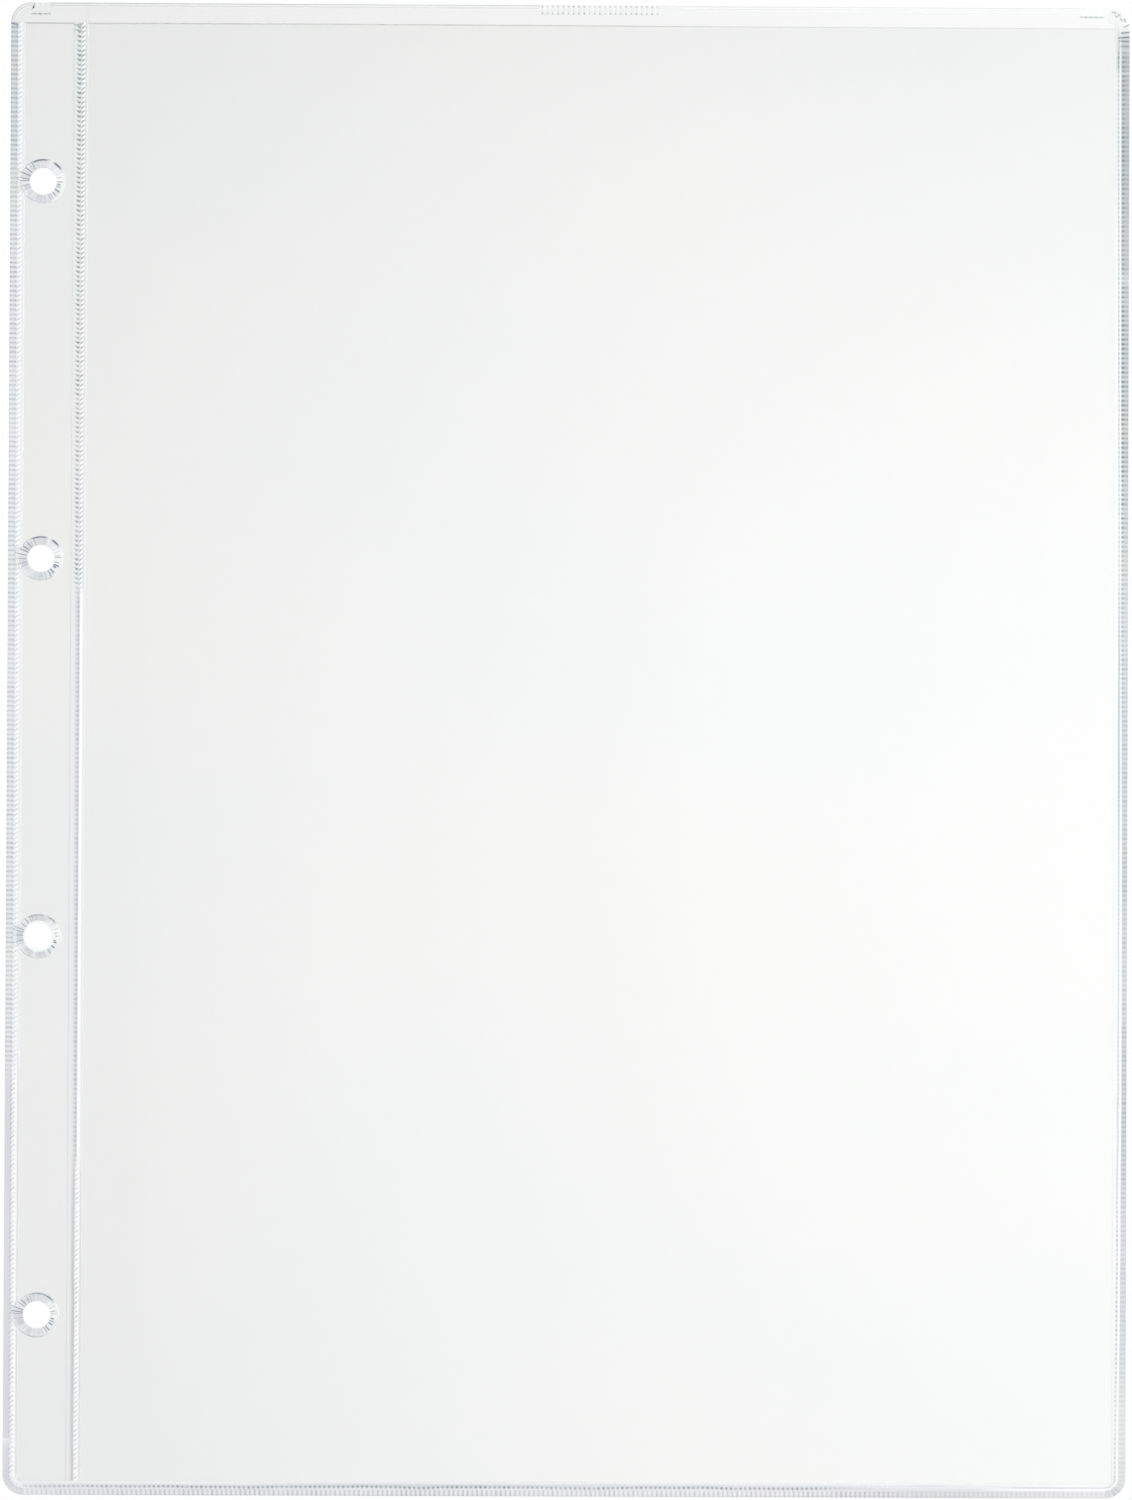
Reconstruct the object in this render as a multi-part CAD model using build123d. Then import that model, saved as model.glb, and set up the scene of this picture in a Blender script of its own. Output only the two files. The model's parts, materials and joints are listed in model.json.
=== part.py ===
import os

from build123d import *

# A clear punched pocket for ring binders, lying flat with its front film up.
# Millimetres. X runs across the page from the binding margin, Y towards the open mouth, Z up.
# The origin is the middle of the page, on the surface that it lies on.

# Page
page_width = 237.5
page_height = 316.0
corner_radius = 4.3
film_thickness = 0.20
margin_film_gap = 0.02  # between the two films of the binding margin
pocket_gap = 0.15  # room for the inserted sheet
lip_height = 4.3  # the back film stands this far past the front film at the mouth

# Edge welds: a ribbed outer band and a half-round bead inside it
rib_band_width = 1.5
left_bead_width = 1.6
edge_bead_width = 1.5  # bottom, right side and corners
bead_height = 0.62
rib_pitch = 1.0
rib_root_height = 0.28
rib_crest_height = 0.40
corner_leg = 12.0  # height up the left edge at which the corner weld takes over

# Margin weld: a flat flash strip, a ribbed core and a bead
margin_weld_offset = 13.3  # from the left edge of the page to the flash strip
margin_flash_width = 0.85
margin_flash_height = 0.34
margin_core_width = 1.0
margin_bead_width = 0.85
margin_bead_height = 0.52

# Fold line beside the margin weld
fold_clearance = 0.05

# Ring-binder holes, evenly spaced about the middle of the page
hole_count = 4
hole_pitch = 80.0
hole_inset = 7.0  # hole centre from the left edge of the page
hole_diameter = 5.7
ring_diameter = 9.5
ring_height = 0.30
ring_tooth_count = 24
ring_tooth_width = 0.55
ring_tooth_height = 0.16
ring_tooth_inset = 0.35  # plain rim inside and outside the teeth

# Tack marks on the lip
tack_height = 2.0
tack_pitch = 1.1
tack_root_height = 0.04
tack_crest_height = 0.14
left_tack_offset = 4.9  # from the left edge of the page
left_tack_length = 3.4
middle_tack_offset = 112.0  # from the left edge of the page
middle_tack_length = 25.4
right_tack_offset = 5.5  # from the right edge of the page
right_tack_length = 5.0

# Front film, clear of the welds that it turns beside
front_film_clearance = 0.10

# Places that follow from the sizes above
page_left = -page_width / 2
page_right = page_width / 2
page_low = -page_height / 2
page_high = page_height / 2
mouth_y = page_high - lip_height
corner_joint_y = page_low + corner_leg
left_weld_width = rib_band_width + left_bead_width
edge_weld_width = rib_band_width + edge_bead_width

stack_height = 2 * film_thickness + pocket_gap
fold_z = stack_height / 2
fold_reach = bead_height - fold_z + fold_clearance  # what swings past the margin when the page folds
margin_weld_left = page_left + margin_weld_offset
margin_right = margin_weld_left + margin_flash_width + margin_core_width + margin_bead_width
fold_x = margin_right + fold_reach
pocket_left = fold_x + fold_clearance
front_left = fold_x + fold_reach + front_film_clearance  # stays above the margin with mouth and page raised
front_inset = edge_weld_width + front_film_clearance

hole_x = page_left + hole_inset
hole_ys = [hole_pitch * ((hole_count - 1) / 2 - index) for index in range(hole_count)]
hole_radius = hole_diameter / 2
ring_radius = ring_diameter / 2


def zone(left, right, low, high):
    """Flat rectangle between four limits."""
    return Pos((left + right) / 2, (low + high) / 2) * Rectangle(right - left, high - low)


def page_outline(inset):
    """Page outline drawn in by an inset, with its corners kept concentric."""
    width = page_width - 2 * inset
    height = page_height - 2 * inset
    return RectangleRounded(width, height, corner_radius - inset)


def slab(face, low, height):
    """Flat face raised to a plate that starts at a given height."""
    return Pos(0, 0, low) * extrude(face, height)


def rib_comb(length, width, pitch, root, crest):
    """Bar along +Y from the origin, as wide as stated towards +X, with ridges across its top."""
    count = max(1, round(length / pitch))
    step = length / count
    points = [(0, 0), (0, root)]
    for index in range(count):
        points.append(((index + 0.5) * step, crest))
        points.append(((index + 1) * step, root))
    points.append((length, 0))
    outline = make_face(Polyline(*points, close=True))
    return extrude(Plane.YZ * outline, width)


def bead_face(start, width, height):
    """Section of a half-round bead on a square foot, across +X from a start."""
    end = start + width
    foot = Polyline((start, rib_root_height), (start, 0), (end, 0), (end, rib_root_height))
    crown = ThreePointArc((end, rib_root_height), (start + width / 2, height), (start, rib_root_height))
    return Plane.XZ * make_face(foot + crown)


def straight_bead(start, width, height, length):
    """Half-round bead along +Y from the origin."""
    return extrude(bead_face(start, width, height), -length)


def edge_weld(length, bead_width):
    """Edge weld along +Y with the edge of the page at X = 0 and the inside of the page at +X."""
    band = rib_comb(length, rib_band_width, rib_pitch, rib_root_height, rib_crest_height)
    return band + straight_bead(rib_band_width, bead_width, bead_height, length)


def corner_weld():
    """Quarter turn that carries an edge weld's section on, clockwise, from the end of a run along +Y."""
    band = Pos(rib_band_width / 2, rib_root_height / 2) * Rectangle(rib_band_width, rib_root_height)
    turn = Axis((corner_radius, 0, 0), (0, 0, -1))
    ring = revolve(Plane.XZ * band, turn, 90)
    return ring + revolve(bead_face(rib_band_width, edge_bead_width, bead_height), turn, 90)


def make_left_edge_weld():
    weld = Pos(page_left, corner_joint_y) * edge_weld(mouth_y - corner_joint_y, left_bead_width)
    for y in hole_ys:
        weld -= Pos(hole_x, y) * extrude(Circle(ring_radius), bead_height)
    return weld


def make_left_corner_weld():
    along_bottom = margin_right - page_left - corner_radius
    bottom = Pos(margin_right, page_low) * Rot(0, 0, 90) * edge_weld(along_bottom, edge_bead_width)
    corner = Pos(page_left + corner_radius, page_low) * Rot(0, 0, 90) * corner_weld()
    up_side = edge_weld(corner_leg - corner_radius, edge_bead_width)
    return bottom + corner + Pos(page_left, page_low + corner_radius) * up_side


def make_bottom_edge_weld():
    end = page_right - corner_radius
    return Pos(end, page_low) * Rot(0, 0, 90) * edge_weld(end - pocket_left, edge_bead_width)


def make_right_corner_weld():
    return Pos(page_right, page_low + corner_radius) * Rot(0, 0, 180) * corner_weld()


def make_right_edge_weld():
    length = page_height - 2 * corner_radius
    return Pos(page_right, page_high - corner_radius) * Rot(0, 0, 180) * edge_weld(length, edge_bead_width)


def make_top_corner_weld():
    return Pos(page_right - corner_radius, page_high) * Rot(0, 0, -90) * corner_weld()


def make_margin_weld():
    low = page_low + edge_weld_width
    length = mouth_y - low
    core_start = margin_flash_width
    bead_start = core_start + margin_core_width
    flash = slab(zone(0, margin_flash_width, 0, length), 0, margin_flash_height)
    core = rib_comb(length, margin_core_width, rib_pitch, rib_root_height, rib_crest_height)
    bead = straight_bead(bead_start, margin_bead_width, margin_bead_height, length)
    return Pos(margin_weld_left, low) * (flash + Pos(core_start, 0) * core + bead)


def make_hole_weld(y):
    ring = extrude(Circle(ring_radius) - Circle(hole_radius), ring_height)
    tooth_length = ring_radius - hole_radius - 2 * ring_tooth_inset
    tooth_top = ring_height + ring_tooth_height
    tooth = Pos(0, 0, tooth_top / 2) * Box(tooth_length, ring_tooth_width, tooth_top)
    for place in PolarLocations((ring_radius + hole_radius) / 2, ring_tooth_count):
        ring += place * tooth
    return Pos(hole_x, y) * ring


def margin_face(high):
    """Binding margin between its welds, up to a given height on the page, with a seat for each ring."""
    rim = page_outline(0) - page_outline(edge_weld_width)
    face = page_outline(0) & zone(page_left, margin_weld_left, page_low, high)
    face -= zone(page_left, page_left + left_weld_width, corner_joint_y, mouth_y)
    face -= rim & zone(page_left, margin_right, page_low, corner_joint_y)
    for y in hole_ys:
        face -= Pos(hole_x, y) * Circle(ring_radius)
    return face


def make_back_margin_film():
    lip = zone(margin_weld_left, margin_right, mouth_y, page_high)
    return slab(margin_face(page_high) + lip, 0, film_thickness)


def make_front_margin_film():
    return slab(margin_face(mouth_y), film_thickness + margin_film_gap, film_thickness)


def make_back_pocket_film():
    rim = page_outline(0) - page_outline(edge_weld_width)
    bottom_zone = zone(pocket_left, page_right, page_low, page_low + corner_radius)
    right_zone = zone(page_right - corner_radius, page_right, page_low, page_high)
    face = page_outline(0) & zone(pocket_left, page_right, page_low, page_high)
    face -= rim & bottom_zone
    face -= rim & right_zone
    return slab(face, 0, film_thickness)


def make_front_pocket_film():
    face = page_outline(front_inset) & zone(front_left, page_right, page_low, mouth_y)
    return slab(face, film_thickness + pocket_gap, film_thickness)


def make_lip_tack(start, length):
    comb = rib_comb(length, tack_height, tack_pitch, tack_root_height, tack_crest_height)
    return Pos(start + length, page_high - tack_height, film_thickness) * Rot(0, 0, 90) * comb


def make_nodes():
    """Every piece of the page by name."""
    right_tack_start = page_right - right_tack_offset - right_tack_length
    nodes = {
        "back_pocket_film": make_back_pocket_film(),
        "front_pocket_film": make_front_pocket_film(),
        "back_margin_film": make_back_margin_film(),
        "front_margin_film": make_front_margin_film(),
        "margin_weld": make_margin_weld(),
        "left_edge_weld": make_left_edge_weld(),
        "left_corner_weld": make_left_corner_weld(),
        "bottom_edge_weld": make_bottom_edge_weld(),
        "right_corner_weld": make_right_corner_weld(),
        "right_edge_weld": make_right_edge_weld(),
        "top_corner_weld": make_top_corner_weld(),
        "lip_tack_left": make_lip_tack(page_left + left_tack_offset, left_tack_length),
        "lip_tack_middle": make_lip_tack(page_left + middle_tack_offset, middle_tack_length),
        "lip_tack_right": make_lip_tack(right_tack_start, right_tack_length),
    }
    for number, y in enumerate(hole_ys, start=1):
        nodes[f"hole_weld_{number}"] = make_hole_weld(y)
    return nodes


os.makedirs("parts", exist_ok=True)
for name, solid in make_nodes().items():
    export_step(solid, f"parts/{name}.step")
print("fold line at x", round(fold_x, 3), "z", round(fold_z, 3), "margin ends at x", round(margin_right, 3))
print("holes at x", round(hole_x, 3), "y", hole_ys)
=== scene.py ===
import json
import math

import bpy
import numpy as np
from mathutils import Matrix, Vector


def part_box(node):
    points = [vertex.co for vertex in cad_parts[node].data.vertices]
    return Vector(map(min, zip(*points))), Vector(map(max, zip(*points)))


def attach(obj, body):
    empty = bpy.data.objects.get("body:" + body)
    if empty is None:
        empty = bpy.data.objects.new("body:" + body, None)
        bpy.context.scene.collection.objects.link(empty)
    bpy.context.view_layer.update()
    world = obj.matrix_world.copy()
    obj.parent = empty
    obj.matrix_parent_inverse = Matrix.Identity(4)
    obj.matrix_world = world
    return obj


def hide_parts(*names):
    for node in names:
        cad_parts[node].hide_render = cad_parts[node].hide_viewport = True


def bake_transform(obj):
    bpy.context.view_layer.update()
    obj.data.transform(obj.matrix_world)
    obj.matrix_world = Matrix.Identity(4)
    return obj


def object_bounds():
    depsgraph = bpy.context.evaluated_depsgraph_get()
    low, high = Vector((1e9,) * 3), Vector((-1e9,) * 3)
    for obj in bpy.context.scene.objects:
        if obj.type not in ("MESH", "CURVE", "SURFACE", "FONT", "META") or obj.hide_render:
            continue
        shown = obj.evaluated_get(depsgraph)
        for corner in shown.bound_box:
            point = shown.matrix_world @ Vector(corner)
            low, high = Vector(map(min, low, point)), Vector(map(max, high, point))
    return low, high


# Clear punched pocket lying flat, seen from straight above.
# Sizes here are millimetres in the frame's own axes, and turn into metres where a mesh is made.
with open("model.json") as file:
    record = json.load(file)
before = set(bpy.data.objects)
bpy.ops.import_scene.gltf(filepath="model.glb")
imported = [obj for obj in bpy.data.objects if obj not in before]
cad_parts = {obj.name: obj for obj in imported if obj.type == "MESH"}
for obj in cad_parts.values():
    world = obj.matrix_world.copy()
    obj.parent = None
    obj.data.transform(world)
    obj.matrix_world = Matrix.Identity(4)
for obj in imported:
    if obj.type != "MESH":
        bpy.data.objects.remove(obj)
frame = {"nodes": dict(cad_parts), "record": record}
cadLow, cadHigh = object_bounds()
mm = 0.001


def nodeBox(name):  # a node's lowest and highest corners
    low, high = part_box(name)
    return np.array(low) / mm, np.array(high) / mm


pageLeft, pageFoot, _ = np.array(cadLow) / mm
pageRight, pageHead, _ = np.array(cadHigh) / mm
backLow, backHigh = nodeBox("back_pocket_film")
pocketLeft, backTop = backLow[0], backHigh[2]
frontLow, frontHigh = nodeBox("front_pocket_film")
mouthY = frontHigh[1]
marginFilmTop = nodeBox("front_margin_film")[1][2]
cornerRadius = pageRight - nodeBox("top_corner_weld")[0][0]
leftWeldLow, leftWeldHigh = nodeBox("left_edge_weld")
leftWeldWidth = leftWeldHigh[0] - pageLeft
edgeWeldWidth = pageRight - nodeBox("right_edge_weld")[0][0]
marginWeldLow, marginWeldHigh = nodeBox("margin_weld")
holeNumbers = (1, 2, 3, 4)
seam = 0.02  # air left between a weld and the film beside it
footLift = 0.003  # air left below a strip that lies on a film


# Shapes: rounded rows, waves and drifts that the die reliefs are put together from
def smoothStep(low, high, value):  # 0 below low, 1 above high, eased between
    t = np.clip((value - low) / (high - low), 0, 1)
    return t * t * (3 - 2 * t)


def mound(value, centre, halfWidth):  # bell of height 1 at its centre, 1/e at the half width
    return np.exp(-(((value - centre) / halfWidth) ** 2))


def drift(value, spacing, seed):  # slow wander between 0 and 1, one random knot per spacing
    count = int(np.ptp(value) / spacing) + 3
    knots = np.random.default_rng(seed).uniform(0, 1, count)
    place = (value - value.min()) / spacing
    whole = place.astype(int)
    ease = smoothStep(0, 1, place - whole)
    return knots[whole] * (1 - ease) + knots[whole + 1] * ease


def beat(turns, sharpness):  # one crest per turn, from 0 to 1, narrower as sharpness grows
    return (0.5 + 0.5 * np.cos(2 * np.pi * turns)) ** sharpness


def perRib(turns, spread, seed):  # a strength for each rib, from 1 - spread to 1
    which = np.round(turns).astype(int)
    which -= which.min()
    return 1 - spread * np.random.default_rng(seed).uniform(0, 1, which.max() + 1)[which]


# What all reliefs share: how softly zones, flat rows and marks end, and how rows wander
reliefStyle = {
    "zoneEase": 7.0, "flatSoft": 0.1, "markSoft": 0.2, "wanderEvery": 6.0, "wanderSeed": 40, "hueSeed": 90,
}
before, past = -50, 500  # lengths before the start and past the end of any weld


def row(at, half, dark=0.0, **more):  # one row along a weld: its place across it, half width and darkness
    return {"at": at, "half": half, "dark": dark, **more}


def mark(at, lean, half, dark, reach):  # one line across a weld, from its outer edge inwards
    return {"at": at, "lean": lean, "half": half, "dark": dark, "reach": reach}


def inZone(v, zone):  # 1 between two lengths along a weld, eased outside them over the zone's third value
    low, high, ease = (*zone, reliefStyle["zoneEase"])[:3]
    return smoothStep(low - ease, low, v) * smoothStep(high + ease, high, v)


def trend(v, stops):  # a plain number, or straight lines between (length, value) stops
    return np.interp(v, *np.transpose(stops)) if np.ndim(stops) else stops


def relief(across, along, style):
    # Plate height plus a sum of rows. A row is a mound or a flat band across the weld, times a steady share
    # and a ribbed share along it, inside its zone; its place and half width may follow stops along the weld,
    # and slant and bend lean the ribs. Shade is summed the same way: it is painted shade, how dark the clear
    # weld is made where its ribs, grooves and edges would turn light away, and rows with a negative darkness
    # take it off again. Hue says where between grey, blue and violet that painted shade is tinted.
    u, v = np.meshgrid(across, along - along[0])
    seed = style["seed"]
    height = np.zeros(u.shape) + trend(v, style["plate"])
    shade = np.zeros(u.shape) + trend(v, style["ground"])
    tone = trend(v, style["tone"]) * (1 - style["uneven"] * drift(v, style["unevenEvery"], seed))
    for number, part in enumerate(style["rows"]):
        wander = 1 - 2 * drift(v, reliefStyle["wanderEvery"], seed + reliefStyle["wanderSeed"] + number)
        off = u - trend(v, part["at"]) + part.get("wander", 0) * wander
        lean = part.get("slant", 0) * off + part.get("bend", 0) * np.abs(off)
        turns = (v + lean) / style["pitch"] + part.get("phase", 0)
        ribs = beat(turns, part.get("sharp", 1)) * perRib(turns, style["ribSpread"], seed + number)
        share = part.get("ribbed", 0)
        if part.get("flat"):
            soft = reliefStyle["flatSoft"]
            shape = smoothStep(soft, -soft, np.abs(off) - trend(v, part["half"]))
        else:
            shape = mound(off, 0, part["half"])
        body = shape * (1 - share + share * ribs) * inZone(v, part.get("zone", (before, past)))
        height += part.get("high", 0) * body
        shade += part["dark"] * body * tone
    for part in style.get("marks", ()):
        line = mound(v - part["at"] - part["lean"] * u, 0, part["half"])
        soft = reliefStyle["markSoft"]
        shade += part["dark"] * line * smoothStep(part["reach"] + soft, part["reach"] - soft, u)
    edge = smoothStep(0, style["roundOff"], u) * smoothStep(0, style["roundOff"], across[-1] - u)
    height = style["floorHeight"] + (height - style["floorHeight"]) * edge
    hueDrift = 2 * drift(v, style["hueEvery"], seed + reliefStyle["hueSeed"]) - 1
    hue = trend(v, style["hue"]) + style["hueSpread"] * hueDrift
    return height, np.clip(shade, 0, 1), np.clip(hue, 0, 1)


# Meshes
def sweptMesh(name, sections, shade, hue=None, ring=False, sharpAngle=42):
    # Closed sections joined to their neighbours by quads, with a flat face on each open end.
    rows, count, _ = sections.shape
    index = np.arange(rows * count).reshape(rows, count)
    here, ahead = (index, np.roll(index, -1, 0)) if ring else (index[:-1], index[1:])
    quads = np.stack([here, np.roll(here, -1, 1), np.roll(ahead, -1, 1), ahead], -1).reshape(-1, 4)
    points = sections.reshape(-1, 3) * mm
    corner = points[quads] - points.mean(0)
    volume = np.einsum("ij,ij->", corner[:, 0], np.cross(corner[:, 1], corner[:, 2]))
    volume += np.einsum("ij,ij->", corner[:, 0], np.cross(corner[:, 2], corner[:, 3]))
    faces = quads.tolist()
    if not ring:
        faces += [index[0][::-1].tolist(), index[-1].tolist()]
    if volume < 0:
        faces = [face[::-1] for face in faces]
    mesh = bpy.data.meshes.new(name)
    mesh.from_pydata(points.tolist(), [], faces)
    for key, values in (("shade", shade), ("hue", np.zeros(shade.shape) if hue is None else hue)):
        attribute = mesh.attributes.new(key, "FLOAT", "POINT")
        attribute.data.foreach_set("value", values.ravel().astype(np.float32))
    mesh.shade_smooth()
    mesh.set_sharp_from_angle(angle=math.radians(sharpAngle))
    piece = bpy.data.objects.new(name, mesh)
    bpy.context.scene.collection.objects.link(piece)
    return piece


def footed(top, footZ, *values):
    # A relief's rows of points closed below by a flat foot under their first and last points.
    foot = top[:, [-1, 0]].copy()
    foot[..., 2] = footZ
    clear = np.zeros(foot.shape[:2])
    return np.concatenate([top, foot], 1), *(np.concatenate([part, clear], 1) for part in values)


def slabMesh(name, xs, ys, zs, dark=0.0):  # plain slab with stations along x
    x = np.array(xs)
    loop = np.array([[ys[0], zs[0]], [ys[1], zs[0]], [ys[1], zs[1]], [ys[0], zs[1]]])
    sections = np.empty((len(x), 4, 3))
    sections[..., 0] = x[:, None]
    sections[..., 1:] = loop
    return sweptMesh(name, sections, np.full(sections.shape[:2], dark))


# The page outline runs from the mouth line down the left side and round against the clock: four straight
# sides, each followed by a quarter circle. These are the lengths at which each stretch ends.
straightY = pageHead - pageFoot - 2 * cornerRadius
straightX = pageRight - pageLeft - 2 * cornerRadius
cornerArc = cornerRadius * np.pi / 2
outlineEnds = np.cumsum([0] + 2 * [straightY, cornerArc, straightX, cornerArc])
bottomStart, bottomEnd, lipStart, outlineEnd = outlineEnds[[2, 3, 6, 8]]


def outline(s):  # places and inward normals at lengths s along the outline
    part = np.clip(np.searchsorted(outlineEnds, s, "right") - 1, 0, len(outlineEnds) - 2)
    local = s - outlineEnds[part]
    side = part // 2
    low = np.array([pageLeft, pageFoot]) + cornerRadius
    high = np.array([pageRight, pageHead]) - cornerRadius
    centres = np.array([[low[0], low[1]], [high[0], low[1]], [high[0], high[1]], [low[0], high[1]]])
    straight = part % 2 == 0
    angle = np.pi + side * np.pi / 2 + np.where(straight, 0, local / cornerRadius)
    outward = np.stack([np.cos(angle), np.sin(angle)], -1)
    forward = np.stack([-np.sin(angle), np.cos(angle)], -1)
    lengths = np.where(side % 2 == 0, straightY, straightX)
    back = np.where(straight, lengths - local, 0)[:, None]
    return centres[side] + outward * cornerRadius - forward * back, -outward


def edgePiece(name, start, end, style, footZ=0.0, narrowing=None):
    # A relief carried along the page outline from one length to another.
    along = np.linspace(start, end, int((end - start) * style["perMm"]) + 1)
    across = np.array(style["across"])
    height, shade, hue = relief(across, along, style)
    place, inward = outline(along)
    u = np.broadcast_to(across, height.shape)
    if narrowing is not None:
        u, shade = narrowing(u, place, shade)
    top = np.concatenate([place[:, None] + inward[:, None] * u[..., None], height[..., None]], -1)
    return sweptMesh(name, *footed(top, footZ, shade, hue))


def columns(*spans):  # stations across a weld: (from, to, how many) for each stretch
    return np.unique(np.round(np.concatenate([np.linspace(a, b, n) for a, b, n in spans]), 4)).tolist()


# What the edge welds share: stations along, rib pitch, heights, and how wide their sides round off
edgeWeld = {"perMm": 8, "pitch": 1.0, "plate": 0.34, "floorHeight": 0.16, "roundOff": 0.14}

# Left weld: thin dark ribs across the outer band, then slanted white teeth along the bead. Its dark is
# painted shade for the light the clear ribs turn away, and its white is where that painted shade is taken off
leftBand = 1.5  # width of the outer band
leftEnd = mouthY - leftWeldLow[1]  # where the corner weld takes over
upper, lower = (before, 218), (226, past)  # ribbed above, smooth with chevrons below
leftWeld = {
    **edgeWeld, "across": columns((0, leftBand, 12), (leftBand, leftWeldWidth - seam, 14)),
    "seed": 11, "ribSpread": 0.4, "uneven": 0.25, "unevenEvery": 17,
    "ground": ((0, 0.21), (30, 0.17), (80, 0.14)),
    "tone": ((0, 0.9), (14, 0.9), (60, 1.05), (104, 0.85), (150, 1.0)),
    "hue": ((0, 0.3), (45, 0.35), (60, 0.9), (90, 0.6), (150, 0.8), (210, 0.6), (300, 0.9)),
    "hueSpread": 0.45, "hueEvery": 9,
    "rows": [
        row(0.72, 0.76, 0.07, flat=True),  # the band's grey
        row(0.72, 0.76, 0.17, flat=True, zone=(before, 20, 25)),  # darker under the mouth
        row(0.72, 0.76, 0.17, flat=True, zone=lower),  # and in the smooth part
        row(0.72, 0.74, 0.44, flat=True, high=0.06, ribbed=1, sharp=2, zone=upper),  # ribs
        row(0.72, 0.74, 0.04, flat=True, ribbed=1, sharp=4, zone=(before, 15, 30)),  # finer ones at the top
        row(0.12, 0.22, 0.26, ribbed=1, sharp=1.5, zone=upper),  # the ribs' dark outer ends
        row(1.36, 0.22, 0.30, ribbed=1, sharp=1.5, zone=upper),  # and their inner ends
        row(0.05, 0.12, 0.12),  # the cut edge
        row(1.95, 0.46, high=0.24, ribbed=0.5, phase=0.5, slant=0.6, zone=upper),  # teeth
        row(1.95, 0.44, -0.4, ribbed=0.6, phase=0.5, slant=0.6, zone=upper),  # their white
        row(1.95, 0.42, 0.62, ribbed=1, slant=0.6, sharp=2.2, zone=upper),  # the dark between them
        row(1.92, 0.46, high=0.26, ribbed=0.60, phase=0.5, bend=-0.8, zone=lower),  # chevrons
        row(1.98, 0.50, -0.55, flat=True, zone=lower),  # their white
        row(1.74, 0.42, 1.15, ribbed=1, slant=0.9, sharp=2.2, zone=lower),  # long strokes between them
        row(2.22, 0.22, 0.90, ribbed=1, slant=-0.8, phase=0.12, sharp=2, zone=lower),  # and short ones
        row(2.86, 0.14, 0.22, zone=lower),  # a line beside the bead
        row(2.80, 0.12, 0.08, high=0.03, ribbed=0.9, sharp=2),  # fine dots
    ],
    "marks": [mark(0.1, 0.3, 0.16, 0.6, 1.9)],
}

# Left corner: the left weld's lower part past the die joint, and ribs again along the bottom, in the same
# painted shade
leftCorner = {
    **leftWeld, "across": columns((0, leftBand, 12), (leftBand, edgeWeldWidth - seam, 14)), "seed": 17,
    "ground": 0.14, "tone": ((0, 0.1), (0.9, 0.3), (2.2, 1.0), (8, 1.0), (12, 0.7), (20, 0.7)),
    "hue": ((0, 0.2), (3, 0.8), (20, 0.8)), "hueSpread": 0.2, "marks": [],
    "rows": [
        *({**part, "zone": (before, past)} for part in leftWeld["rows"] if part.get("zone") in (None, lower)),
        row(0.72, 0.72, 0.12, flat=True, ribbed=1, zone=(9, past, 4)),
    ],
}

# Bottom weld: light and dark ribs in the outer band, a dark dotted core, a faint light line inside, all in
# painted shade as on the left weld
ribbedEnd, lineStart = (before, 182), (212, past)  # ribs and dots fade out, and a white line begins
bottomBand = 1.45
bottomWeld = {
    **edgeWeld, "across": columns((0, bottomBand, 11), (bottomBand, edgeWeldWidth - seam, 15)),
    "seed": 23, "ribSpread": 0.35, "uneven": 0.2, "unevenEvery": 14,
    "ground": ((0, 0.15), (120, 0.14), (226, 0.12)),
    "tone": ((0, 0.7), (8, 1.1), (40, 1.25), (70, 1.4), (100, 1.28), (135, 1.25), (165, 1.25), (200, 1.3),
             (226, 0.9)),
    "hue": ((0, 0.9), (35, 0.8), (50, 0.6), (130, 0.55), (160, 0.8), (190, 0.95)),
    "hueSpread": 0.35, "hueEvery": 8,
    "rows": [
        row(0.70, 0.74, 0.06, flat=True),  # the band's grey
        row(0.70, 0.74, 0.16, flat=True, zone=(190, past, 30)),  # darker to the right
        row(0.64, 0.66, 0.36, flat=True, high=0.06, ribbed=1, sharp=1.8, zone=ribbedEnd),  # ribs
        row(0.70, 0.70, 0.12, flat=True, ribbed=1, zone=(190, past)),  # fainter ones to the right
        row(0.06, 0.16, 0.22),  # the cut edge
        row(1.92, 0.42, 0.17, wander=0.10, zone=(4, 170, 12)),  # the core's grey
        row(1.84, 0.30, 0.60, ribbed=1, sharp=1.5, phase=0.3, wander=0.16, zone=(4, 166, 12)),  # its dots
        row(2.42, 0.34, 0.16, zone=(70, 190, 30)),  # a shadow inside it
        row(2.20, 0.30, high=0.18, ribbed=0.3, phase=0.5, zone=ribbedEnd),  # a low bead
        row(1.70, 0.30, 0.20, zone=(180, 200, 10)),  # where the dots run out
        row(1.78, 0.20, -0.12, high=0.18, zone=lineStart),  # the white line
        row(2.16, 0.14, 0.45, zone=lineStart),  # a dark line beside it
        row(2.64, 0.18, -0.05, high=0.08, ribbed=0.7, phase=0.5, zone=ribbedEnd),  # a light line inside
    ],
}
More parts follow.
